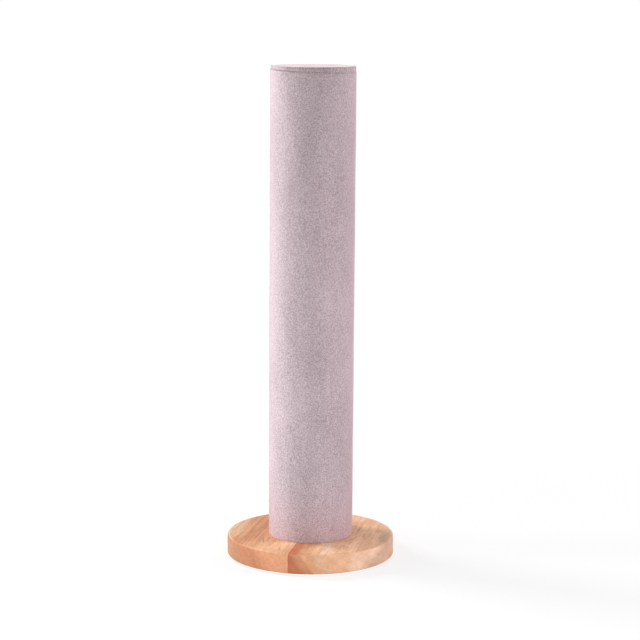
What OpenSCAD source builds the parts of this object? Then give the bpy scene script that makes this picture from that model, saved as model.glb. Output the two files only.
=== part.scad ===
// Hair tie holder: a velvet-covered column bolted to a round wooden base.
// Hair ties slide down over the column from the top.
// Millimetres, +Z up, origin on the surface it stands on, under the column's axis.

/* [Overall size] */
// Full height, from the surface it stands on to the top of the cap
overall_h = 296; // [200:1:400]
// Diameter of the column outside its velvet, which is what ties slide over
column_d = 51; // [40:0.5:70]
// Diameter of the wooden base
base_d = 101; // [80:1:160]

/* [Base] */
// Thickness of the wooden base
base_t = 12; // [10:0.5:20]
// Rounding of the base's top edge
base_top_round = 1.4; // [0.5:0.1:3]
// Rounding of the base's bottom edge
base_bottom_round = 0.8; // [0.4:0.1:2]
// Turn of the glue joint between the two staves, clockwise from the +Y axis
joint_turn = 11.5; // [-45:0.5:45]
// Where the glue joint passes the centre, towards +X
joint_shift = -3.1; // [-20:0.1:20]

/* [Feet] */
// Number of foot pads
pad_count = 4; // [3:1:6]
// Diameter of a foot pad
pad_d = 12; // [8:0.5:16]
// Thickness of a foot pad
pad_t = 1; // [0.8:0.1:3]
// Wood left between a foot pad and the base's edge
pad_inset = 6; // [3:0.5:12]

/* [Column] */
// Thickness of the velvet, backing and pile together
velvet_t = 0.8; // [0.5:0.1:1.2]
// Wall of the paperboard tube
tube_wall = 2.5; // [1.5:0.1:4]
// How far the velvet is turned in along the tube's bore at each end
hem_depth = 12; // [6:1:16]
// Length of the wooden plug in the foot of the tube
bottom_plug_h = 20; // [18:1:30]
// Length of the wooden plug in the head of the tube
top_plug_h = 18; // [10:1:30]

/* [Cap] */
// How much smaller in radius the cap is than the column
cap_step = 0.25; // [0.1:0.05:1]
// Thickness of the board inside the cap
cap_board_t = 1.5; // [1:0.1:4]
// Width of the velvet turned in under the cap's board
cap_turn_in = 8; // [4:0.5:12]

/* [Fastening] */
// Thread diameter of the bolt
bolt_d = 6; // [4:1:8]
// Length of the bolt under its head
bolt_length = 20; // [18:1:24]
// Diameter of the bolt's head
bolt_head_d = 10.5; // [9:0.5:14]
// Height of the bolt's head
bolt_head_h = 3.3; // [2.5:0.1:4]
// Hexagon socket in the bolt's head, across its flats
socket_across = 4; // [3:0.5:6]
// Depth of the hexagon socket
socket_depth = 2; // [1:0.1:2.4]
// Outside diameter of the washer
washer_d = 12; // [11:0.5:18]
// Thickness of the washer
washer_t = 1.6; // [1:0.1:2]
// Depth of the recess for the washer and the bolt's head
recess_depth = 5.5; // [5:0.1:8]
// Outside diameter of the threaded insert
insert_d = 10; // [9.5:0.5:12]
// Length of the threaded insert, flange included
insert_h = 13; // [10:1:16]
// Diameter of the insert's flange
insert_flange_d = 13; // [13:0.5:16]
// Thickness of the insert's flange
insert_flange_t = 1.2; // [0.8:0.1:2]

/* [Clearances] */
// Glue line round a plug, between it and the turned-in velvet
glue_gap = 0.1; // [0.05:0.05:0.3]
// Room round the bolt in the base and in the washer
bolt_clear = 0.3; // [0.2:0.05:0.6]
// Room between the bolt and the insert, whose threads are drawn plain
thread_clear = 0.05; // [0.02:0.01:0.1]
// Room round the washer in its recess
recess_clear = 1.5; // [0.5:0.1:3]
// Room round the insert in the plug
insert_clear = 0.05; // [0.02:0.01:0.2]

/* [Hidden] */
$fn = 96;
pad_names = [for (i = [1:pad_count]) str("foot_pad_", i)];

// How far a cut runs past the face that it opens
over = 1;
// Broken edge on turned and punched pieces
edge_break = 0.2;
// Rounding of the bolt's button head and bevel at its tip
bolt_head_round = 1.1;
bolt_tip = 0.8;
// Bevel at the ends of the plugs
plug_bevel = 1;
// Rounding where the velvet folds over the ends of the tube, and over the rim of the cap
hem_fold = velvet_t / 2;
cap_fold = velvet_t;

base_r = base_d / 2;
column_r = column_d / 2;
tube_r = column_r - velvet_t;
bore_r = tube_r - tube_wall;
hem_r = bore_r - velvet_t;
plug_r = hem_r - glue_gap;
cap_r = column_r - cap_step;
cap_h = cap_board_t + 2 * velvet_t;
cap_board_r = cap_r - velvet_t;

// Heights, from the ground up
base_z = pad_t;
column_z = base_z + base_t;
cap_z = overall_h - cap_h;
column_h = cap_z - column_z;
washer_z = base_z + recess_depth - washer_t;
bolt_head_z = washer_z - bolt_head_h;

hole_r = bolt_d / 2 + bolt_clear;
recess_r = washer_d / 2 + recess_clear;
pad_ring_r = base_r - pad_inset - pad_d / 2;

velvet_colour = [0.76, 0.66, 0.70];
board_colour = [0.72, 0.64, 0.54];
left_wood_colour = [0.83, 0.62, 0.43];
right_wood_colour = [0.88, 0.69, 0.50];
plug_wood_colour = [0.80, 0.69, 0.52];
steel_colour = [0.74, 0.75, 0.77];
pad_colour = [0.16, 0.16, 0.17];

// A disc on z = 0 with true rounds along its bottom and top edges
module rounded_disc(radius, height, bottom_round, top_round) {
    rotate_extrude() {
        square([radius - bottom_round, height / 2]);
        translate([0, height / 2]) square([radius - top_round, height / 2]);
        translate([0, bottom_round]) square([radius, height - bottom_round - top_round]);
        translate([radius - bottom_round, bottom_round]) circle(bottom_round);
        translate([radius - top_round, height - top_round]) circle(top_round);
    }
}

// A plain disc on z = 0 with a bevel along its bottom and top edges
module bevelled_disc(radius, height, bevel) {
    cylinder(r1 = radius - bevel, r2 = radius, h = bevel);
    translate([0, 0, bevel]) cylinder(r = radius, h = height - 2 * bevel);
    translate([0, 0, height - bevel]) cylinder(r1 = radius, r2 = radius - bevel, h = bevel);
}

// The whole base before it is taken apart along the glue joint, drilled and recessed from below
module base_blank() {
    translate([0, 0, base_z]) {
        difference() {
            rounded_disc(base_r, base_t, base_bottom_round, base_top_round);
            translate([0, 0, -over]) cylinder(r = hole_r, h = base_t + 2 * over);
            translate([0, 0, -over]) cylinder(r = recess_r, h = recess_depth + over);
        }
    }
}

// All of the base on one side of the glue joint: side is -1 for the left, 1 for the right
module base_stave(side) {
    reach = 2 * base_r;
    start = side < 0 ? joint_shift - reach : joint_shift;
    intersection() {
        base_blank();
        rotate(-joint_turn) translate([start, -reach, 0]) cube([reach, 2 * reach, column_z + over]);
    }
}

module base_stave_left() {
    color(left_wood_colour) base_stave(-1);
}

module base_stave_right() {
    color(right_wood_colour) base_stave(1);
}

// The pads stand evenly round the base, the first one half a step from +X
module foot_pad(index) {
    turn = 360 / pad_count * (index - 0.5);
    color(pad_colour)
        rotate(turn) translate([pad_ring_r, 0, 0]) cylinder(d = pad_d, h = pad_t);
}

// The button-head bolt stands head down in the recess; its socket is a true hexagon
module base_bolt() {
    color(steel_colour) translate([0, 0, bolt_head_z]) {
        difference() {
            rounded_disc(bolt_head_d / 2, bolt_head_h, bolt_head_round, edge_break);
            translate([0, 0, -over])
                cylinder(d = socket_across / cos(30), h = socket_depth + over, $fn = 6);
        }
        translate([0, 0, bolt_head_h]) cylinder(d = bolt_d, h = bolt_length - bolt_tip);
        translate([0, 0, bolt_head_h + bolt_length - bolt_tip])
            cylinder(r1 = bolt_d / 2, r2 = bolt_d / 2 - bolt_tip, h = bolt_tip);
    }
}

module bolt_washer() {
    color(steel_colour) translate([0, 0, washer_z]) {
        difference() {
            bevelled_disc(washer_d / 2, washer_t, edge_break);
            translate([0, 0, -over]) cylinder(r = hole_r, h = washer_t + 2 * over);
        }
    }
}

// The insert is screwed into the plug from below, its flange flush with the plug's foot
module insert_nut() {
    color(steel_colour) translate([0, 0, column_z]) {
        difference() {
            union() {
                cylinder(d = insert_flange_d, h = insert_flange_t);
                cylinder(d = insert_d, h = insert_h);
            }
            translate([0, 0, -over]) cylinder(r = bolt_d / 2 + thread_clear, h = insert_h + 2 * over);
        }
    }
}

// The plug stands on the base and is bored for the insert and for the bolt's tip past it
module bottom_plug() {
    bolt_top = bolt_head_z + bolt_head_h + bolt_length - column_z;
    bore_h = max(insert_h, bolt_top) + over;
    color(plug_wood_colour) translate([0, 0, column_z]) {
        difference() {
            bevelled_disc(plug_r, bottom_plug_h, plug_bevel);
            translate([0, 0, -over])
                cylinder(r = insert_flange_d / 2 + insert_clear, h = insert_flange_t + insert_clear + over);
            translate([0, 0, -over]) cylinder(r = insert_d / 2 + insert_clear, h = bore_h + over);
        }
    }
}

module top_plug() {
    color(plug_wood_colour) translate([0, 0, cap_z - top_plug_h])
        bevelled_disc(plug_r, top_plug_h, plug_bevel);
}

// The tube ends one thickness of velvet short of the base and of the cap, to leave room for the hems
module column_tube() {
    color(board_colour) translate([0, 0, column_z + velvet_t]) {
        difference() {
            cylinder(r = tube_r, h = column_h - 2 * velvet_t);
            translate([0, 0, -over]) cylinder(r = bore_r, h = column_h + 2 * over);
        }
    }
}

// The velvet covers the tube, folds over both its ends and is turned in along the bore
module column_fabric() {
    color(velvet_colour) translate([0, 0, column_z]) {
        difference() {
            rounded_disc(column_r, column_h, hem_fold, hem_fold);
            translate([0, 0, velvet_t]) {
                difference() {
                    cylinder(r = tube_r, h = column_h - 2 * velvet_t);
                    hem_rings();
                }
            }
            translate([0, 0, -over]) cylinder(r = hem_r, h = column_h + 2 * over);
        }
    }
}

// The two turned-in hems, measured from the foot of the tube
module hem_rings() {
    ring_h = hem_depth - velvet_t;
    for (z = [-over, column_h - velvet_t - hem_depth])
        translate([0, 0, z]) cylinder(r = bore_r, h = ring_h + over);
}

module cap_board() {
    color(board_colour) translate([0, 0, cap_z + velvet_t])
        cylinder(r = cap_board_r, h = cap_board_t);
}

// The cap's velvet covers the board's top and edge and is turned in under it
module cap_fabric() {
    color(velvet_colour) translate([0, 0, cap_z]) {
        difference() {
            rounded_disc(cap_r, cap_h, hem_fold, cap_fold);
            translate([0, 0, velvet_t]) cylinder(r = cap_board_r, h = cap_board_t);
            translate([0, 0, -over])
                cylinder(r = cap_board_r - cap_turn_in, h = over + velvet_t + cap_board_t / 2);
        }
    }
}

base_stave_left();
base_stave_right();
base_bolt();
bolt_washer();
insert_nut();
bottom_plug();
column_tube();
column_fabric();
top_plug();
cap_board();
cap_fabric();
for (i = [1:pad_count])
    foot_pad(i);
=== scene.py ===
# Hair tie holder: the looks of a velvet-covered column on a round wooden base.
# Metres, +Z up, origin on the ground under the column's axis, -Y to the front.
import math

import bpy
import numpy as np
from mathutils import Matrix, Vector


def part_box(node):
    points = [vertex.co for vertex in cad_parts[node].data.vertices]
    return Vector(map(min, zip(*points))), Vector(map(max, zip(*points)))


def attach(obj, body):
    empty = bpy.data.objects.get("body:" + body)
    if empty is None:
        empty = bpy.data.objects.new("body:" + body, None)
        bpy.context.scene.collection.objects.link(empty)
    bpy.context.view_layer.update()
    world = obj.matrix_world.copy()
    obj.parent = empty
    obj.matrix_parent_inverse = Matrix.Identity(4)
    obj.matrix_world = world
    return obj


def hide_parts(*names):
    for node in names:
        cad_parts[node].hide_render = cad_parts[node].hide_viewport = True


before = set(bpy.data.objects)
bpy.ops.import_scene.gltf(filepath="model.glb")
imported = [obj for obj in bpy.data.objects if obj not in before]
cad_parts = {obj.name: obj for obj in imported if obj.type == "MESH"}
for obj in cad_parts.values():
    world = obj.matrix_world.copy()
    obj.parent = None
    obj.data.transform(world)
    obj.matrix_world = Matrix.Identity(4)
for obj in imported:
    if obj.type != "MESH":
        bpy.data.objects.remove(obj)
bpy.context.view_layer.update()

MM = 0.001


def reach(node):
    """Radius, foot and head of a round CAD node that stands on the axis."""
    low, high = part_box(node)
    return high.x, low.z, high.z


# Sizes read from the CAD nodes
column_r, column_foot, column_head = reach("column_fabric")
cap_r, cap_foot, cap_head = reach("cap_fabric")
board_r, board_foot, board_head = reach("cap_board")
tube_r = reach("column_tube")[0]
base_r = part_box("base_stave_right")[1].x
base_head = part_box("base_stave_left")[1].z
velvet_t = column_r - tube_r

# Sizes that a node's box doesn't give
tube_wall = 2.5 * MM
bore_r = tube_r - tube_wall
hem_r = bore_r - velvet_t
hem_depth = 12 * MM
cap_turn_in = 8 * MM
cap_rim = 0.65 * MM
seam_turn = math.pi / 2
seam_lap = 7 * MM
seam_step = 0.30 * MM
seam_line = 0.22 * MM
joint_turn = math.radians(11.5)

# How deep the new skins are worked, and how far up the velvet the painted reflection of the wood
# reaches
skin_ease = 0.06 * MM
pucker_depth = 0.14 * MM
ripple_depth = 0.03 * MM
painted_reflection_height = 38 * MM


# Timber tones, palest first
SAP = (0.84, 0.60, 0.43)
HONEY = (0.84, 0.53, 0.33)
FAWN = (0.78, 0.49, 0.31)
# Sapwood darkened as painted shade, for the lower right end of the right stave's wall
SAP_IN_PAINTED_SHADE = (0.68, 0.475, 0.345)
STRAW = (0.70, 0.46, 0.30)
TAN = (0.72, 0.41, 0.24)
# Sapwood darkened further as painted shade, for the very end of the right stave's wall
SAP_IN_DEEPER_PAINTED_SHADE = (0.62, 0.42, 0.30)
AMBER = (0.65, 0.34, 0.195)
UMBER = (0.62, 0.31, 0.175)
RUSSET = (0.56, 0.275, 0.15)
HEART = (0.53, 0.20, 0.105)
BRICK = (0.44, 0.205, 0.115)
BARK = (0.40, 0.215, 0.125)
CORE = (0.475, 0.175, 0.092)

# Timber's pores and flecks, and what its figure multiplies a tone by
PORE = (0.28, 0.11, 0.06, 1)
FIGURE_DARK = (0.87, 0.80, 0.74, 1)
FIGURE_LIGHT = (1.08, 1.11, 1.13, 1)

# Velvet: its pile, the pile's shaded side, its backing, which also gives painted shade, its two
# sheens, and the painted reflection of the wood that multiplies it near the foot
PILE_PINK = (0.570, 0.49, 0.521, 1)
PILE_SHADE = (0.285, 0.24, 0.253, 1)
BACKING_AND_PAINTED_SHADE = (0.18, 0.14, 0.15, 1)
SHEEN_PINK = (1.0, 0.73, 0.80, 1)
SHEEN_CREAM = (1.0, 0.86, 0.84, 1)
PAINTED_WOOD_REFLECTION = (1.08, 0.975, 0.98, 1)


# Node helpers

def add_node(tree, kind, inputs=None, **settings):
    """Adds one node. An input gets a constant, or a link where it is given a node's socket."""
    new = tree.nodes.new(kind)
    for name, value in settings.items():
        setattr(new, name, value)
    for name, value in (inputs or {}).items():
        if isinstance(value, bpy.types.NodeSocket):
            tree.links.new(value, new.inputs[name])
        else:
            new.inputs[name].default_value = value
    return new


def calc(tree, operation, *values, clamp=False):
    """One step of arithmetic on numbers or sockets."""
    inputs = dict(enumerate(values))
    return add_node(tree, "ShaderNodeMath", inputs, operation=operation, use_clamp=clamp).outputs[0]


def vector_calc(tree, operation, first, second, result="Vector"):
    """One step of arithmetic on two vectors. A dot product or a distance is a Value."""
    inputs = {0: first, 1: second}
    return add_node(tree, "ShaderNodeVectorMath", inputs, operation=operation).outputs[result]


def ramp_up(tree, value, low, high, start=0.0, stop=1.0):
    """Goes smoothly from start to stop as value goes from low to high."""
    inputs = {"Value": value, 1: low, 2: high, 3: start, 4: stop}
    made = add_node(tree, "ShaderNodeMapRange", inputs, interpolation_type="SMOOTHSTEP")
    return made.outputs[0]


def ramp_line(tree, value, low, high):
    """The share of the way from low to high, in a straight line."""
    inputs = {"Value": value, 1: low, 2: high}
    return add_node(tree, "ShaderNodeMapRange", inputs, clamp=True).outputs[0]


def blend(tree, share, first, second, mode="MIX"):
    """Colour that goes from first to second as share goes from 0 to 1. The node's sockets 6 and 7
    and its output 2 are the ones for colours."""
    inputs = {0: share, 6: first, 7: second}
    made = add_node(tree, "ShaderNodeMix", inputs, data_type="RGBA", blend_type=mode)
    return made.outputs[2]


def placed(tree, vector, scale=(1, 1, 1), turn=(0, 0, 0)):
    """The vector scaled, then turned."""
    inputs = {"Vector": vector, "Scale": scale, "Rotation": turn}
    return add_node(tree, "ShaderNodeMapping", inputs).outputs[0]


def noise(tree, vector, size, detail=2.0, roughness=0.5):
    """Soft random pattern from 0 to 1 with features about size across."""
    inputs = {"Vector": vector, "Scale": 1 / size, "Detail": detail, "Roughness": roughness}
    return add_node(tree, "ShaderNodeTexNoise", inputs).outputs[0]


def in_parts(tree, vector):
    """The three parts of a vector."""
    return add_node(tree, "ShaderNodeSeparateXYZ", {0: vector}).outputs


def from_parts(tree, x, y, z):
    """A vector of three parts."""
    return add_node(tree, "ShaderNodeCombineXYZ", {0: x, 1: y, 2: z}).outputs[0]


def object_place(tree):
    """The point's place in the shared frame, in metres."""
    return add_node(tree, "ShaderNodeTexCoord").outputs["Object"]


def bumped(tree, height, depth, strength=1.0):
    """A normal tilted by a height map that is depth metres deep."""
    inputs = {"Height": height, "Distance": depth, "Strength": strength}
    return add_node(tree, "ShaderNodeBump", inputs).outputs[0]


# The kinds of sockets that a node group gets
FLOAT, COLOUR, VECTOR = "NodeSocketFloat", "NodeSocketColor", "NodeSocketVector"


def new_group(name, inputs, outputs):
    """A shader node group with named sockets: its tree, its inputs and its outputs."""
    tree = bpy.data.node_groups.new(name, "ShaderNodeTree")
    for label, kind, value in inputs:
        socket = tree.interface.new_socket(label, in_out="INPUT", socket_type=kind)
        if value is not None:
            socket.default_value = value
    for label, kind in outputs:
        tree.interface.new_socket(label, in_out="OUTPUT", socket_type=kind)
    entry = tree.nodes.new("NodeGroupInput").outputs
    leave = tree.nodes.new("NodeGroupOutput").inputs
    return tree, entry, leave


def use_group(tree, group, inputs):
    """Places a node group in a tree and gives its outputs."""
    made = add_node(tree, "ShaderNodeGroup", node_tree=group)
    for name, value in inputs.items():
        if isinstance(value, bpy.types.NodeSocket):
            tree.links.new(value, made.inputs[name])
        else:
            made.inputs[name].default_value = value
    return made.outputs


def new_material(name):
    """A material, its node tree and its surface shader."""
    material = bpy.data.materials.new(name)
    material.use_nodes = True
    tree = material.node_tree
    return material, tree, tree.nodes["Principled BSDF"]


def link_surface(tree, surface, tone, roughness, normal):
    """Links a material's tone, roughness and normal to its surface shader."""
    tree.links.new(tone, surface.inputs["Base Color"])
    tree.links.new(roughness, surface.inputs["Roughness"])
    tree.links.new(normal, surface.inputs["Normal"])


# Effects that several materials share

def make_pile():
    """Short brushed pile: tufts under a millimetre, fine fibres and wide brushed patches. Where the
    pile is parted, its backing shows. The same mask and dark colour also give painted shade."""
    tree, entry, leave = new_group(
        "velvet_pile",
        [
            ("Vector", VECTOR, None),
            ("Pile Colour", COLOUR, None),
            ("Shade Colour", COLOUR, None),
            ("Backing And Shade Colour", COLOUR, None),
            ("Parting And Painted Shade", FLOAT, 0.0),
        ],
        [("Colour", COLOUR), ("Height", FLOAT), ("Roughness", FLOAT)],
    )
    place = entry["Vector"]
    tufts = noise(tree, place, 0.85 * MM, 2.0, 0.65)
    fibres = noise(tree, place, 0.25 * MM, 1.0)
    brushed = noise(tree, placed(tree, place, (1, 1, 0.45)), 22 * MM, 3.0, 0.6)
    lit = 0.5
    for pattern, strength in ((tufts, 2.4), (fibres, 0.8), (brushed, 0.7)):
        lit = calc(tree, "MULTIPLY_ADD", calc(tree, "SUBTRACT", pattern, 0.5), strength, lit)
    pile = blend(tree, lit, entry["Shade Colour"], entry["Pile Colour"])
    # The backing shows where the pile is parted; the same dark colour is painted shade in the groove
    # and the gathers
    parted_and_painted_shade = blend(tree, entry["Parting And Painted Shade"], pile, entry["Backing And Shade Colour"])
    raised = calc(tree, "MULTIPLY_ADD", fibres, 0.4, tufts)
    tree.links.new(parted_and_painted_shade, leave["Colour"])
    tree.links.new(calc(tree, "SUBTRACT", raised, entry["Parting And Painted Shade"]), leave["Height"])
    tree.links.new(ramp_up(tree, tufts, 0.3, 0.7, 0.98, 0.86), leave["Roughness"])
    return tree


def make_grain():
    """Timber in the log's frame, X across the grain and Y along it: growth rings round the pith,
    long streaks, soft mottling and pores."""
    tree, entry, leave = new_group(
        "wood_grain",
        [
            ("Vector", VECTOR, None),
            ("Pith", VECTOR, None),
            ("Ring Width", FLOAT, 3 * MM),
            ("Pore Length", FLOAT, 4 * MM),
        ],
        [(label, FLOAT) for label in ("Rings", "Streaks", "Mottle", "Pores", "Height")],
    )
    place = entry["Vector"]
    wander = noise(tree, placed(tree, place, (1, 0.12, 1)), 9 * MM, 2.0)
    x, _, z = in_parts(tree, vector_calc(tree, "SUBTRACT", place, entry["Pith"]))
    square = calc(tree, "ADD", calc(tree, "MULTIPLY", x, x), calc(tree, "MULTIPLY", z, z))
    radius = calc(tree, "MULTIPLY_ADD", wander, 7 * MM, calc(tree, "SQRT", square))
    phase = calc(tree, "MULTIPLY", calc(tree, "DIVIDE", radius, entry["Ring Width"]), 2 * math.pi)
    rings = calc(tree, "MULTIPLY_ADD", calc(tree, "SINE", phase), 0.5, 0.5)

    streaks = noise(tree, placed(tree, place, (1, 0.03, 1)), 1.3 * MM, 4.0, 0.6)
    mottle = noise(tree, placed(tree, place, (1, 0.4, 1)), 7 * MM, 4.0, 0.6)
    squeeze = from_parts(tree, 1.0, calc(tree, "DIVIDE", 0.3 * MM, entry["Pore Length"]), 1.0)
    vessels = noise(tree, vector_calc(tree, "MULTIPLY", place, squeeze), 0.45 * MM, 1.0)
    pores = ramp_up(tree, vessels, 0.6, 0.72)

    tree.links.new(rings, leave["Rings"])
    tree.links.new(ramp_up(tree, streaks, 0.32, 0.68), leave["Streaks"])
    tree.links.new(ramp_up(tree, mottle, 0.3, 0.7), leave["Mottle"])
    tree.links.new(pores, leave["Pores"])
    tree.links.new(calc(tree, "SUBTRACT", streaks, pores), leave["Height"])
    return tree


def make_speckle():
    """Fine even grain, such as on foam, paper and plated metal, with wide faint patches."""
    tree, entry, leave = new_group(
        "fine_speckle",
        [
            ("Vector", VECTOR, None),
            ("Grain Size", FLOAT, 0.5 * MM),
            ("Patch Size", FLOAT, 8 * MM),
        ],
        [("Grain", FLOAT), ("Patches", FLOAT)],
    )
    for label, source, detail in (("Grain", "Grain Size", 2.0), ("Patches", "Patch Size", 3.0)):
        scale = calc(tree, "DIVIDE", 1.0, entry[source])
        inputs = {"Vector": entry["Vector"], "Scale": scale, "Detail": detail, "Roughness": 0.55}
        pattern = add_node(tree, "ShaderNodeTexNoise", inputs).outputs[0]
        tree.links.new(ramp_up(tree, pattern, 0.3, 0.7), leave[label])
    return tree


PILE = make_pile()
GRAIN = make_grain()
SPECKLE = make_speckle()


# Velvet

def velvet(name, sheen, sheen_tint):
    """Short-pile dusty-pink velvet with a sheen. Near the wood it has a painted rosy tint that stands
    in for light reflected off the wood. The mesh attribute, 0 to 1, shows the backing at folds and at
    the seam. It is also painted shade in the groove under the cap and in the cap's gathers."""
    material, tree, surface = new_material(name)
    place = object_place(tree)
    inputs = {
        "Vector": place,
        "Pile Colour": PILE_PINK,
        "Shade Colour": PILE_SHADE,
        "Backing And Shade Colour": BACKING_AND_PAINTED_SHADE,
        "Parting And Painted Shade": add_node(tree, "ShaderNodeAttribute", attribute_name="parting_and_painted_shade").outputs["Fac"],
    }
    made = use_group(tree, PILE, inputs)
    height = in_parts(tree, place)[2]
    # Painted reflection: near the foot the velvet is tinted rosy, standing in for light bounced off
    # the wood
    painted_reflection_share = ramp_up(tree, height, base_head, base_head + painted_reflection_height, 1.0, 0.0)
    tone = blend(tree, painted_reflection_share, made["Colour"], PAINTED_WOOD_REFLECTION, "MULTIPLY")
    link_surface(tree, surface, tone, made["Roughness"], bumped(tree, made["Height"], 0.1 * MM))
    surface.inputs["Specular IOR Level"].default_value = 0.15
    surface.inputs["Sheen Weight"].default_value = sheen
    surface.inputs["Sheen Roughness"].default_value = 0.4
    surface.inputs["Sheen Tint"].default_value = sheen_tint
    return material


# Rubberwood

def colour_bands(tree, place, bands):
    """A ramp of colours; each band is its place in mm from the middle of the base, and its tone."""
    ramp = add_node(tree, "ShaderNodeValToRGB", {0: ramp_line(tree, place, -base_r, base_r)})
    stops = ramp.color_ramp.elements
    for index, (spot, tone) in enumerate(bands):
        share = 0.5 + spot * MM / (2 * base_r)
        stop = stops[index] if index < 2 else stops.new(share)
        stop.position = share
        stop.color = (*tone, 1)
    return ramp.outputs[0]


def wandering(tree, log):
    """The place across the grain, which wanders a little on the way along it."""
    wander = noise(tree, placed(tree, log, (1, 0.15, 1)), 12 * MM, 3.0, 0.6)
    sideways = calc(tree, "SUBTRACT", wander, 0.5)
    return calc(tree, "MULTIPLY_ADD", sideways, 3 * MM, in_parts(tree, log)[0])


def top_tones(tree, log, place, bands, wedge):
    """The top face's bands by their place across the grain. From 15 mm in front of the middle on,
    they lean across by wedge for each step along."""
    along = in_parts(tree, log)[1]
    forward = calc(tree, "MINIMUM", calc(tree, "ADD", along, 15 * MM), 0.0)
    return colour_bands(tree, calc(tree, "MULTIPLY_ADD", forward, wedge, place), bands)


def wall_tones(tree, log, place, depth, bands, slant):
    """The wall's bands by their place across the grain. They lean across by slant for each step down.
    The slant turns over between 24 and 38 mm to the right of the middle, so the darker bands at the
    right end, which are painted shade, reach further in lower down."""
    across = in_parts(tree, log)[0]
    # Past 38 mm to the right the lean turns over, bringing the bands of painted shade lower on the
    # wall
    lean = ramp_up(tree, across, 24 * MM, 38 * MM, slant, -slant)
    return colour_bands(tree, calc(tree, "MULTIPLY_ADD", depth, lean, place), bands)


def figured(tree, tone, grain, on_wall, streaky):
    """The tone with darker and paler figure and with pores, all of it fainter on the wall. Streaky
    is the share of long streaks in the figure, and mottling has the rest."""
    ring_share = 0.16
    mottle_share = 1 - ring_share - streaky
    figure = calc(tree, "MULTIPLY_ADD", grain["Rings"], -ring_share, ring_share)
    figure = calc(tree, "MULTIPLY_ADD", grain["Streaks"], streaky, figure)
    figure = calc(tree, "MULTIPLY_ADD", grain["Mottle"], mottle_share, figure)
    contrast = ramp_up(tree, on_wall, 0.0, 1.0, 1.0, 0.55)
    figure = calc(tree, "MULTIPLY_ADD", calc(tree, "SUBTRACT", figure, 0.5), contrast, 0.5)
    dark = blend(tree, 1.0, tone, FIGURE_DARK, "MULTIPLY")
    pale = blend(tree, 1.0, tone, FIGURE_LIGHT, "MULTIPLY")
    tone = blend(tree, ramp_up(tree, figure, 0.15, 0.85), dark, pale)
    pore_strength = ramp_up(tree, on_wall, 0.0, 1.0, 0.40, 0.14)
    return blend(tree, calc(tree, "MULTIPLY", grain["Pores"], pore_strength), tone, PORE)


def stroke(tree, flat, start, stop, width):
    """1 on a thin line between two places in mm across and along the grain, 0 beside it."""
    ends = [Vector((*end, 0)) * MM for end in (start, stop)]
    run = ends[1] - ends[0]
    away = vector_calc(tree, "SUBTRACT", flat, ends[0])
    reached = vector_calc(tree, "DOT_PRODUCT", away, run, "Value")
    share = calc(tree, "DIVIDE", reached, run.length_squared, clamp=True)
    nearest = add_node(tree, "ShaderNodeVectorMath", {0: run, "Scale": share}, operation="SCALE")
    gap = vector_calc(tree, "DISTANCE", away, nearest.outputs[0], "Value")
    return ramp_up(tree, gap, 0.2 * width, width, 1.0, 0.0)


def flecked(tree, tone, log, on_wall, flecks):
    """The tone with short dark lines on the top face."""
    across, along, _ = in_parts(tree, log)
    flat = from_parts(tree, across, along, 0.0)
    on_top = calc(tree, "SUBTRACT", 1.0, on_wall)
    width = 0.6 * MM
    for start, stop in flecks:
        mark = calc(tree, "MULTIPLY", stroke(tree, flat, start, stop, width), on_top)
        tone = blend(tree, calc(tree, "MULTIPLY", mark, 0.5), tone, PORE)
    return tone


def rubberwood(name, top_bands, end_bands, pith, slant, wedge, streaky, flecks):
    """Clear-finished rubberwood, its grain along the glue joint. Both kinds of bands are (place
    across the grain in mm, tone): top_bands on the top face, end_bands on the wall and below.
    Wedge and slant make them lean, streaky is the share of long streaks in the figure, and each
    fleck is the two ends of a short dark line on the top face."""
    material, tree, surface = new_material(name)
    log = placed(tree, object_place(tree), turn=(0, 0, joint_turn))
    inputs = {"Vector": log, "Pith": pith, "Ring Width": 3.4 * MM, "Pore Length": 5 * MM}
    grain = use_group(tree, GRAIN, inputs)
    depth = calc(tree, "SUBTRACT", base_head, in_parts(tree, log)[2])
    on_wall = ramp_up(tree, depth, 0.1 * MM, 0.8 * MM)
    place = wandering(tree, log)
    top_tone = top_tones(tree, log, place, top_bands, wedge)
    wall_tone = wall_tones(tree, log, place, depth, end_bands, slant)
    tone = blend(tree, on_wall, top_tone, wall_tone)
    tone = figured(tree, tone, grain, on_wall, streaky)
    tone = flecked(tree, tone, log, on_wall, flecks)
    roughness = ramp_up(tree, grain["Pores"], 0.0, 1.0, 0.55, 0.70)
    link_surface(tree, surface, tone, roughness, bumped(tree, grain["Height"], 0.03 * MM, 0.6))
    surface.inputs["Specular IOR Level"].default_value = 0.06
    return material


def left_rubberwood():
    """The left stave: pale at its outer edge, then russet streaks, and honey towards the joint."""
    return rubberwood(
        "rubberwood_left",
        top_bands=[
            (-50, SAP), (-45, STRAW), (-43, STRAW), (-40.2, AMBER), (-38, AMBER), (-36, RUSSET),
            (-35, RUSSET), (-34.3, AMBER), (-33.5, RUSSET), (-29, RUSSET), (-25, AMBER),
            (-16, TAN), (-4, HONEY), (6, TAN),
        ],
        end_bands=[
            (-48, BARK), (-43, BARK), (-37, BRICK), (-28, BRICK), (-18.5, UMBER), (-14, AMBER),
            (-8, AMBER), (-2, TAN),
        ],
        pith=(-72 * MM, 0, -24 * MM),
        slant=-0.5,
        wedge=-0.34,
        streaky=0.50,
        flecks=[
            ((-25.2, -19), (-22.6, -29)),
            ((-21.6, -17), (-21.0, -27)),
            ((-10.6, -38), (-10.0, -44)),
        ],
    )


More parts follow.
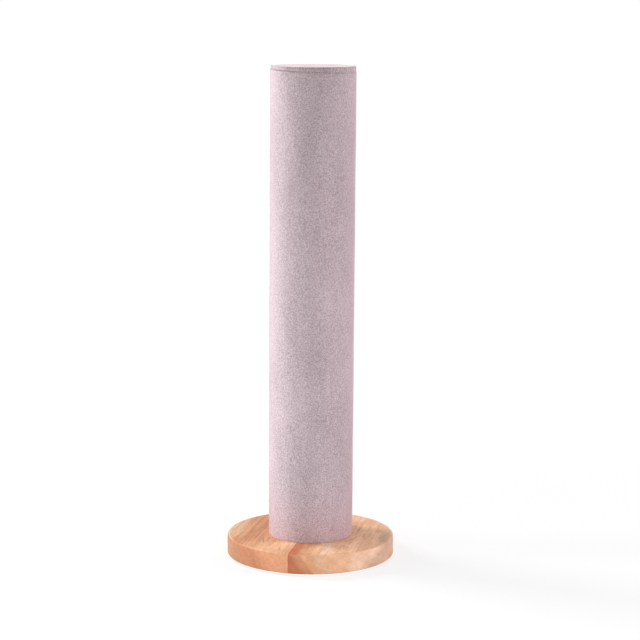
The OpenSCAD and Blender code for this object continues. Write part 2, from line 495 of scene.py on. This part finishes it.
def right_rubberwood():
    """The right stave: red heartwood along the joint, then tan and honey, with painted shade
    darkening its wall at the right end, more so lower down.
    """
    return rubberwood(
        "rubberwood_right",
        top_bands=[
            (-2, HEART), (1, HEART), (3.5, AMBER), (6, AMBER), (10, TAN), (13, HONEY),
            (15.5, SAP), (18, SAP), (21, HONEY), (25, FAWN), (29, HONEY), (41, HONEY),
            (47.5, STRAW),
        ],
        # The last two bands are sapwood with painted shade, darker where the wall turns away near the
        # floor
        end_bands=[
            (-8, CORE), (-3.5, CORE), (0.5, RUSSET), (2.2, RUSSET), (4.5, TAN), (8, TAN),
            (12.5, STRAW), (16, FAWN), (31, FAWN), (36, SAP), (45, SAP), (49, SAP_IN_PAINTED_SHADE), (50.5, SAP_IN_DEEPER_PAINTED_SHADE),
        ],
        pith=(-10 * MM, 0, -48 * MM),
        slant=-0.8,
        wedge=0.0,
        streaky=0.26,
        flecks=[
            ((28.3, 16), (28.0, 8)),
            ((29.3, -3), (28.6, -11)),
            ((33.0, 4), (33.4, -4)),
            ((15.8, -13), (15.2, -21)),
        ],
    )


# Finishes of the pieces that the photograph doesn't show

def turned_plug():
    """Bare turned softwood, its grain upright."""
    material, tree, surface = new_material("plug_wood")
    log = placed(tree, object_place(tree), turn=(math.pi / 2, 0, 0))
    pith = (30 * MM, 0, 20 * MM)
    inputs = {"Vector": log, "Pith": pith, "Ring Width": 2.2 * MM, "Pore Length": 6 * MM}
    grain = use_group(tree, GRAIN, inputs)
    tone = blend(tree, grain["Rings"], (0.70, 0.52, 0.32, 1), (0.55, 0.36, 0.19, 1))
    tone = blend(tree, calc(tree, "MULTIPLY", grain["Pores"], 0.3), tone, (0.35, 0.21, 0.10, 1))
    roughness = ramp_up(tree, grain["Streaks"], 0.0, 1.0, 0.75, 0.62)
    link_surface(tree, surface, tone, roughness, bumped(tree, grain["Height"], 0.05 * MM))
    return material


def paperboard():
    """Spiral-wound grey-brown board: fibres, faint patches and the edge of the outer ply, which
    climbs 70 mm to the turn."""
    material, tree, surface = new_material("paperboard")
    place = object_place(tree)
    fibres = placed(tree, place, (1, 1, 0.4))
    inputs = {"Vector": fibres, "Grain Size": 0.5 * MM, "Patch Size": 9 * MM}
    speckle = use_group(tree, SPECKLE, inputs)
    x, y, z = in_parts(tree, place)
    turn = calc(tree, "DIVIDE", calc(tree, "ARCTAN2", y, x), 2 * math.pi)
    climb = calc(tree, "DIVIDE", z, 70 * MM)
    off_edge = calc(tree, "PINGPONG", calc(tree, "ADD", turn, climb), 0.5)
    ply_edge = ramp_up(tree, off_edge, 0.0, 0.01, 1.0, 0.0)
    tone = blend(tree, speckle["Patches"], (0.43, 0.32, 0.21, 1), (0.52, 0.40, 0.28, 1))
    tone = blend(tree, calc(tree, "MULTIPLY", speckle["Grain"], 0.35), tone, (0.34, 0.25, 0.16, 1))
    tone = blend(tree, ply_edge, tone, (0.24, 0.17, 0.11, 1))
    roughness = ramp_up(tree, speckle["Grain"], 0.0, 1.0, 0.8, 0.92)
    relief = calc(tree, "SUBTRACT", speckle["Grain"], ply_edge)
    link_surface(tree, surface, tone, roughness, bumped(tree, relief, 0.04 * MM))
    return material


def zinc_plate():
    """Bright zinc plate with a faint blue and straw bloom."""
    material, tree, surface = new_material("zinc_steel")
    inputs = {"Vector": object_place(tree), "Grain Size": 0.3 * MM, "Patch Size": 4 * MM}
    speckle = use_group(tree, SPECKLE, inputs)
    tone = blend(tree, speckle["Patches"], (0.62, 0.64, 0.68, 1), (0.70, 0.69, 0.64, 1))
    roughness = ramp_up(tree, speckle["Grain"], 0.0, 1.0, 0.24, 0.38)
    link_surface(tree, surface, tone, roughness, bumped(tree, speckle["Grain"], 0.01 * MM))
    surface.inputs["Metallic"].default_value = 1.0
    return material


def foam():
    """Fine closed-cell black foam with cut cells."""
    material, tree, surface = new_material("foot_foam")
    place = object_place(tree)
    inputs = {"Vector": place, "Grain Size": 0.35 * MM, "Patch Size": 5 * MM}
    speckle = use_group(tree, SPECKLE, inputs)
    cell_size = 0.4 * MM
    cells = add_node(tree, "ShaderNodeTexVoronoi", {"Vector": place, "Scale": 1 / cell_size})
    tone = blend(tree, speckle["Grain"], (0.016, 0.016, 0.018, 1), (0.040, 0.040, 0.043, 1))
    roughness = ramp_up(tree, speckle["Patches"], 0.0, 1.0, 0.8, 0.92)
    link_surface(tree, surface, tone, roughness, bumped(tree, cells.outputs["Distance"], 0.1 * MM))
    return material


# Surfaces

def rise(low, high, value):
    """0 up to low, 1 from high on, with a smooth step between; it falls where high is below low."""
    share = np.clip((value - low) / (high - low), 0, 1)
    return share * share * (3 - 2 * share)


def arc(centre_r, centre_z, radius, start, stop, steps=6):
    """Points on part of a circle in the (radius, height) plane, from start to stop degrees; 0 points
    outwards, 90 up."""
    turn = np.radians(np.linspace(start, stop, steps))
    return np.stack([centre_r + radius * np.cos(turn), centre_z + radius * np.sin(turn)], axis=1)


def line(start, stop, steps):
    """Evenly spaced points between two points, both ends left out."""
    share = np.linspace(0, 1, steps + 2)[1:-1, None]
    return np.array(start) * (1 - share) + np.array(stop) * share


def full_turn(steps):
    """Evenly spaced angles once round."""
    return np.linspace(0, 2 * np.pi, steps, endpoint=False)


def spun(profile, turns):
    """Radius, height and angle of each point of a (radius, height) profile at each turn."""
    radius = np.repeat(profile[:, :1], len(turns), axis=1)
    height = np.repeat(profile[:, 1:], len(turns), axis=1)
    angle = np.repeat(turns[None, :], len(profile), axis=0)
    return radius, height, angle


def new_piece(name, points, faces, parting_and_painted_shade):
    """An object with a smooth mesh at the origin. On its points is the attribute that marks parted
    pile and painted shade.
    """
    mesh = bpy.data.meshes.new(name)
    mesh.from_pydata(points.tolist(), [], faces)
    mesh.polygons.foreach_set("use_smooth", np.ones(len(faces), bool))
    layer = mesh.attributes.new("parting_and_painted_shade", "FLOAT", "POINT")
    layer.data.foreach_set("value", parting_and_painted_shade.astype(np.float32))
    mesh.update()
    piece = bpy.data.objects.new(name, mesh)
    bpy.context.scene.collection.objects.link(piece)
    return piece


def swept_skin(name, radius, height, angle, parting_and_painted_shade, poles):
    """A profile swept once round the axis: the point at profile step i and turn j lies at
    (radius cos angle, radius sin angle, height) of that pair. Faces join neighbours and close round
    the turn. Without poles the profile closes on itself; with poles its first and last rings are
    closed by one point each."""
    rings, turns = radius.shape
    grid = [radius * np.cos(angle), radius * np.sin(angle), height]
    points = np.stack(grid, axis=2).reshape(-1, 3)
    parting_and_painted_shade = parting_and_painted_shade.reshape(-1)
    index = np.arange(rings * turns).reshape(rings, turns)
    if not poles:
        index = np.vstack([index, index[:1]])
    low, high = index[:-1], index[1:]
    around = [low, np.roll(low, -1, 1), np.roll(high, -1, 1), high]
    faces = np.stack(around, axis=2).reshape(-1, 4).tolist()
    if poles:
        first, last = np.full(turns, len(points)), np.full(turns, len(points) + 1)
        ends = [(0, 0, height[0].mean()), (0, 0, height[-1].mean())]
        points = np.vstack([points, ends])
        parting_and_painted_shade = np.append(parting_and_painted_shade, [0, 0])
        after = np.roll(index, -1, 1)
        faces += np.stack([first, after[0], index[0]], axis=1).tolist()
        faces += np.stack([last, index[-1], after[-1]], axis=1).tolist()
    return new_piece(name, points, faces, parting_and_painted_shade)


# The groove between the cap and the column's head, which both skins follow

def groove_lift(angle):
    """How far the groove stands above the cap's foot: a cosine of the turn, with a steeper part on
    each half, so that it lies 0.5 mm below the foot at the right and 1.25 mm above it at the left."""
    left = np.maximum(-np.cos(angle), 0)
    right = np.maximum(np.cos(angle), 0)
    return (0.15 - 0.35 * np.cos(angle) + 0.75 * left ** 1.5 - 0.3 * right) * MM


def groove_shut(angle):
    """How far the pile closes the groove: open on the left, rising smoothly to nearly closed in the
    middle and a little less on the right."""
    return 0.92 * rise(-0.45, -0.1, np.cos(angle)) - 0.2 * rise(0.35, 0.65, np.cos(angle))


def filled_corner(radius, outer_r, angle):
    """Moves a skin's rounded corner outwards where the groove is shut, to 0.1 mm inside outer_r."""
    share = groove_shut(angle) * rise(outer_r - 0.8 * MM, outer_r - 0.4 * MM, radius)
    return radius + share * np.maximum(outer_r - 0.1 * MM - radius, 0)


# The sleeve

def sleeve_profile():
    """The sleeve's section as a closed loop: up the outside, over the head of the tube, down and
    back up its hem in the bore, down the inside of the skin and round the hem at the foot."""
    fold = velvet_t / 2
    edge = 4 * MM
    foot, head = column_foot, column_head
    inner_foot, inner_head = foot + velvet_t, head - velvet_t
    hem_end_foot, hem_end_head = foot + hem_depth, head - hem_depth
    return np.vstack([
        arc(column_r - fold, foot + fold, fold, -90, 0),
        line((column_r, foot + fold), (column_r, foot + edge), 8),
        line((column_r, foot + edge), (column_r, head - edge), 56),
        line((column_r, head - edge), (column_r, head - fold), 8),
        arc(column_r - fold, head - fold, fold, 0, 90),
        line((column_r - fold, head), (hem_r + fold, head), 6),
        arc(hem_r + fold, head - fold, fold, 90, 180),
        line((hem_r, head - fold), (hem_r, hem_end_head + fold), 4),
        arc(hem_r + fold, hem_end_head + fold, fold, 180, 360),
        line((bore_r, hem_end_head + fold), (bore_r, inner_head), 4),
        [(bore_r, inner_head), (tube_r, inner_head)],
        line((tube_r, inner_head), (tube_r, inner_foot), 12),
        [(tube_r, inner_foot), (bore_r, inner_foot)],
        line((bore_r, inner_foot), (bore_r, hem_end_foot - fold), 4),
        arc(hem_r + fold, hem_end_foot - fold, fold, 0, 180),
        line((hem_r, hem_end_foot - fold), (hem_r, foot + fold), 4),
        arc(hem_r + fold, foot + fold, fold, 180, 270),
        line((hem_r + fold, foot), (column_r - fold, foot), 6),
    ])


def slow_waves(angle, height):
    """Slight waves of the stretched cloth: three sines of the turn and of the height, together at
    most 0.085 mm high."""
    climb = height / (280 * MM)
    waves = 0.035 * np.sin(3 * angle + 21 * climb)
    waves += 0.03 * np.sin(2 * angle - 34 * climb + 1.3)
    waves += 0.02 * np.sin(7 * angle + 9 * climb + 0.4)
    return waves * MM


def past_seam(angle, height):
    """How far a point lies past the seam: the turn from it times the column's radius, less the
    wobble of its cut edge, which is two small sines of the height."""
    wobble = 0.12 * MM * np.sin(height / (6 * MM)) + 0.08 * MM * np.sin(height / (2.3 * MM) + 1)
    return (angle - seam_turn) * column_r - wobble


def velvet_sleeve():
    """The sleeve's section swept round the axis. Its outside stands back by skin_ease, has slow
    waves and steps up by seam_step over the lapped seam at the back. Its head follows the uneven
    groove under the cap."""
    at_seam = seam_turn + np.linspace(-0.6, 0.6, 25) * MM / column_r
    turns = np.unique(np.concatenate([full_turn(480), at_seam]))
    radius, height, angle = spun(sleeve_profile(), turns)
    skin = rise(tube_r, column_r, radius)
    past = past_seam(angle, height)
    step = rise(-0.2 * MM, 0.2 * MM, past) * rise(seam_lap, 0.6 * seam_lap, past)
    radius = radius + skin * (slow_waves(angle, height) - skin_ease + seam_step * step)

    groove_open = 1 - groove_shut(angle)
    seam_parting = 0.75 * np.exp(-((past / seam_line) ** 2)) * skin
    # Painted shade along the head where the groove under the cap is open, partly the backing at the
    # fold
    head_parting_and_painted_shade = 0.6 * skin * rise(column_head - 0.8 * MM, column_head, height) * groove_open
    parting_and_painted_shade = np.maximum(seam_parting, head_parting_and_painted_shade)

    at_head = rise(column_head - 0.45 * MM, column_head - 0.1 * MM, height)
    radius = radius * (1 - at_head) + filled_corner(radius, column_r, angle) * at_head
    near_head = rise(column_head - 3 * MM, column_head - 0.5 * MM, height)
    outer = rise(column_r - 1.3 * MM, column_r - 0.5 * MM, radius)
    height = height + near_head * outer * groove_lift(angle)
    piece = swept_skin("velvet_sleeve", radius, height, angle, parting_and_painted_shade, poles=False)

    return piece


# The cap

def cap_profile():
    """The cap skin's section from the pole under its top, round its turned-in edge, to the pole on
    top of it."""
    fold = velvet_t / 2
    inner = board_r - cap_turn_in
    return np.vstack([
        line((0, board_head), (board_r, board_head), 6),
        [(board_r, board_head), (board_r, board_foot)],
        line((board_r, board_foot), (inner, board_foot), 6),
        arc(inner, cap_foot + fold, fold, 90, 270),
        line((inner, cap_foot), (cap_r - fold, cap_foot), 12),
        arc(cap_r - fold, cap_foot + fold, fold, -90, 0, 7),
        line((cap_r, cap_foot + fold), (cap_r, cap_head - cap_rim), 8),
        arc(cap_r - cap_rim, cap_head - cap_rim, cap_rim, 0, 90, 9),
        line((cap_r - cap_rim, cap_head), (0, cap_head), 26),
    ])


def puckers(angle):
    """Uneven small gathers round the edge, 0 to 1: waves of 79, 97 and 118 to the turn that beat
    with each other, strongest left of the middle and rising and falling 15 times to the turn."""
    beat = np.sin(79 * angle) + np.sin(97 * angle + 1.1) + 0.8 * np.sin(118 * angle + 2.3)
    strong = rise(-0.9, -0.6, np.cos(angle)) * (1 - 0.6 * rise(0.0, 0.5, np.cos(angle)))
    strong = strong * (0.6 + 0.4 * np.sin(15 * angle + 2.5))
    return np.clip(beat / 2.0 + 0.15, 0, 1) * strong


def cap_parting_and_painted_shade(radius, height, angle, side):
    """Where the cap's pile parts and where shade is painted. The line along the rim fades to the left
    and right, and is partly the backing at the fold and partly painted shade. There is painted shade
    in the gathers under it and at the foot where the groove is open."""
    gathers = puckers(angle)
    off_middle = rise(0.3, 0.7, np.abs(np.cos(angle)))
    at_rim = rise(cap_r - 1.1 * MM, cap_r - 0.5 * MM, radius)
    at_rim = at_rim * rise(cap_head - 1.0 * MM, cap_head - 0.45 * MM, height)
    # The rim line is partly the backing at the fold and partly painted shade; hang and foot_line are
    # painted shade in the gathers and the open groove
    rim_line = at_rim * (1 - 0.6 * off_middle) * (0.5 + 0.8 * gathers)
    hang = side * rise(cap_head - 2.6 * MM, cap_head - 0.9 * MM, height) * gathers
    foot_line = side * (1 - rise(cap_foot, cap_foot + 0.8 * MM, height)) * (1 - groove_shut(angle))
    return np.clip(0.36 * rim_line + 0.62 * hang + 0.4 * foot_line, 0, 0.85)


def velvet_cap():
    """The cap skin's section swept round the axis, its side gathered in small puckers, its top
    faintly rippled and its foot on the uneven groove."""
    radius, height, angle = spun(cap_profile(), full_turn(900))
    side = rise(board_r, cap_r, radius)
    parting_and_painted_shade = cap_parting_and_painted_shade(radius, height, angle, side)

    upper = rise(cap_foot + 0.9 * MM, cap_head - 0.8 * MM, height)
    radius = radius - pucker_depth * puckers(angle) * side * upper
    at_foot = 1 - rise(cap_foot + 0.1 * MM, cap_foot + 0.45 * MM, height)
    radius = radius * (1 - at_foot) + filled_corner(radius, cap_r, angle) * at_foot

    on_top = rise(cap_head - 0.1 * MM, cap_head, height) * (radius / cap_r)
    ripple = ripple_depth * (np.sin(5 * angle + 300 * radius) - 1) * on_top
    low = 1 - rise(cap_foot + 0.4 * MM, cap_foot + 2.9 * MM, height)
    outer = rise(cap_r - 1.05 * MM, cap_r - 0.35 * MM, radius)
    height = height + low * outer * groove_lift(angle) + ripple
    piece = swept_skin("velvet_cap", radius, height, angle, parting_and_painted_shade, poles=True)

    return piece


# The foot pads

def foam_pad(name, node):
    """A die-cut foam disc: a section with small rounds at its edges, swept round its own middle."""
    low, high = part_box(node)
    pad_r, thick = (high.x - low.x) / 2, high.z - low.z
    soft = 0.22 * MM
    profile = np.vstack([
        line((0, 0), (pad_r - soft, 0), 6),
        arc(pad_r - soft, soft, soft, -90, 0),
        arc(pad_r - soft, thick - soft, soft, 0, 90),
        line((pad_r - soft, thick), (0, thick), 6),
    ])
    radius, height, angle = spun(profile, full_turn(72))
    no_parting = np.zeros_like(radius)
    piece = swept_skin(name, radius, height + low.z, angle, no_parting, poles=True)
    middle = (low + high) / 2
    piece.data.transform(Matrix.Translation((middle.x, middle.y, 0)))
    return piece


# Pieces on the object

def put_on(piece, material, node):
    """Finishes a new piece: its material, the body it rides on and the CAD node it stands for."""
    piece.data.materials.append(material)
    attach(piece, "root")
    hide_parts(node)


def finish_nodes(material, *nodes):
    """Gives CAD nodes a better material."""
    for node in nodes:
        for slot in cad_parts[node].material_slots:
            slot.material = material


def dress():
    """Puts on the new pieces, and finishes the CAD nodes that stay."""
    sleeve_velvet = velvet("column_velvet", sheen=1.0, sheen_tint=SHEEN_PINK)
    cap_velvet = velvet("cap_velvet", sheen=0.70, sheen_tint=SHEEN_CREAM)
    put_on(velvet_sleeve(), sleeve_velvet, "column_fabric")
    put_on(velvet_cap(), cap_velvet, "cap_fabric")
    foot_foam = foam()
    pads = sorted(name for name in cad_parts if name.startswith("foot_pad_"))
    for number, node in enumerate(pads, start=1):
        put_on(foam_pad(f"foam_pad_{number}", node), foot_foam, node)
    finish_nodes(left_rubberwood(), "base_stave_left")
    finish_nodes(right_rubberwood(), "base_stave_right")
    finish_nodes(turned_plug(), "bottom_plug", "top_plug")
    finish_nodes(paperboard(), "column_tube", "cap_board")
    finish_nodes(zinc_plate(), "base_bolt", "bolt_washer", "insert_nut")


# Stage: floor, light and camera

# The rose tint of the lamps that light the velvet's right side, and the fainter one of its left
BLUSH = (1.0, 0.89, 0.925)
FAINT_BLUSH = (1.0, 0.97, 0.98)
WHITE = (1, 1, 1)

# What the lamps are aimed at, and where the photograph was taken from
lamp_aim = Vector((0, 0, 0.15))
camera_place = (0.00493, -1.2023, 0.3444)
camera_pitch = math.radians(9.446)
camera_roll = math.radians(0.415)
camera_lens = 114.2


def shown_white(tree):
    """1 for rays that look at the background: from the camera, in a mirror or through glass."""
    ray = add_node(tree, "ShaderNodeLightPath").outputs
    seen = calc(tree, "ADD", ray["Is Camera Ray"], ray["Is Glossy Ray"])
    return calc(tree, "ADD", seen, ray["Is Transmission Ray"], clamp=True)


def floor_white():
    """Pale paint that shows nearly white near the object and white farther off, and that can be
    seen through from below."""
    material, tree, surface = new_material("floor_white")
    tree.nodes.remove(surface)
    paint = add_node(tree, "ShaderNodeBsdfDiffuse", {"Color": (0.9, 0.9, 0.9, 1)}).outputs[0]
    glow_inputs = {"Color": (*WHITE, 1), "Strength": 1.02}
    glow = add_node(tree, "ShaderNodeEmission", glow_inputs).outputs[0]
    away = vector_calc(tree, "DISTANCE", object_place(tree), (0, 0, 0), "Value")
    glow_share = ramp_up(tree, away, 0.12, 0.6, 0.75, 1.0)
    share = calc(tree, "MULTIPLY", shown_white(tree), glow_share)
    lit = add_node(tree, "ShaderNodeMixShader", {0: share, 1: paint, 2: glow}).outputs[0]
    clear = add_node(tree, "ShaderNodeBsdfTransparent").outputs[0]
    below = add_node(tree, "ShaderNodeNewGeometry").outputs["Backfacing"]
    both = add_node(tree, "ShaderNodeMixShader", {0: below, 1: lit, 2: clear}).outputs[0]
    tree.links.new(both, tree.nodes["Material Output"].inputs["Surface"])
    return material


def white_floor():
    """A wide plain floor that keeps a light shadow. It is a ring of points at (r cos turn,
    r sin turn): its opening lies under the base, out of sight, and lets light reach the underside."""
    opening_r, outer_r = base_r - 2 * MM, 8.0
    turns = full_turn(96)
    circle = np.stack([np.cos(turns), np.sin(turns), np.zeros_like(turns)], axis=1)
    points = np.vstack([circle * opening_r, circle * outer_r])
    inner = np.arange(len(turns))
    outer = inner + len(turns)
    quads = np.stack([inner, outer, np.roll(outer, -1), np.roll(inner, -1)], axis=1)
    mesh = bpy.data.meshes.new("floor")
    mesh.from_pydata(points.tolist(), [], quads.tolist())
    mesh.materials.append(floor_white())
    floor = bpy.data.objects.new("floor", mesh)
    bpy.context.scene.collection.objects.link(floor)


def white_world(level):
    """Even light of the given level, shown as plain white to the eye."""
    world = bpy.data.worlds.new("studio")
    world.use_nodes = True
    bpy.context.scene.world = world
    tree = world.node_tree
    strength = calc(tree, "MULTIPLY_ADD", shown_white(tree), 1.0 - level, level)
    tree.links.new(strength, tree.nodes["Background"].inputs["Strength"])
    tree.nodes["Background"].inputs["Color"].default_value = (*WHITE, 1)


def softbox(name, azimuth, elevation, distance, size, level, colour=WHITE):
    """A rectangular lamp aimed at the object's middle; level is what a white face turned to it
    renders at. Azimuth 0 is the front and 90 the right, in degrees."""
    around, up = math.radians(azimuth), math.radians(elevation)
    flat = math.cos(up)
    out = Vector((math.sin(around) * flat, -math.cos(around) * flat, math.sin(up)))
    lamp = bpy.data.lights.new(name, "AREA")
    lamp.shape = "RECTANGLE"
    lamp.size, lamp.size_y = size
    lamp.energy = level * (math.pi * distance) ** 2
    lamp.color = colour
    holder = bpy.data.objects.new(name, lamp)
    holder.location = lamp_aim + out * distance
    holder.rotation_mode = "QUATERNION"
    holder.rotation_quaternion = (-out).to_track_quat("-Z", "Y")
    holder.visible_camera = False
    bpy.context.scene.collection.objects.link(holder)


def set_lamps():
    """Tall lamps at both sides and behind, small low ones at the front, one above and one below."""
    tall, small = (0.3, 0.6), (0.15, 0.12)
    softbox("key_lamp", -117, 29, 1.3, (0.4, 0.6), level=0.80, colour=FAINT_BLUSH)
    softbox("left_lamp", -85, 12, 1.3, tall, level=0.54, colour=FAINT_BLUSH)
    softbox("left_low_lamp", -45, -8, 0.5, small, level=0.34, colour=FAINT_BLUSH)
    softbox("front_low_lamp", 0, -10, 0.5, (0.3, 0.1), level=0.13)
    softbox("right_low_lamp", 62, -8, 0.5, small, level=0.17, colour=BLUSH)
    softbox("right_lamp", 82, 12, 1.3, tall, level=0.55, colour=BLUSH)
    softbox("back_lamp", 165, 20, 1.3, (0.5, 0.6), level=0.20)
    softbox("top_lamp", 0, 88, 0.9, (0.5, 0.5), level=0.27)
    softbox("under_lamp", 0, -90, 0.5, (0.06, 0.06), level=0.28)


def photo_camera():
    """A camera at the photograph's place: slightly above the cap, pitched down and rolled."""
    level_right = Vector((1, 0, 0))
    level_up = Vector((0, math.sin(camera_pitch), math.cos(camera_pitch)))
    ahead = Vector((0, math.cos(camera_pitch), -math.sin(camera_pitch)))
    right = level_right * math.cos(camera_roll) + level_up * math.sin(camera_roll)
    up = level_up * math.cos(camera_roll) - level_right * math.sin(camera_roll)
    data = bpy.data.cameras.new("camera")
    data.sensor_width = 36.0
    data.lens = camera_lens
    holder = bpy.data.objects.new("camera", data)
    turn = Matrix((right, up, -ahead)).transposed().to_4x4()
    holder.matrix_world = Matrix.Translation(camera_place) @ turn
    bpy.context.scene.collection.objects.link(holder)
    bpy.context.scene.camera = holder


def set_stage():
    """Floor, world, lamps and camera."""
    bpy.context.scene.view_settings.view_transform = "Standard"
    white_floor()
    white_world(level=0.10)
    set_lamps()
    photo_camera()


dress()
set_stage()
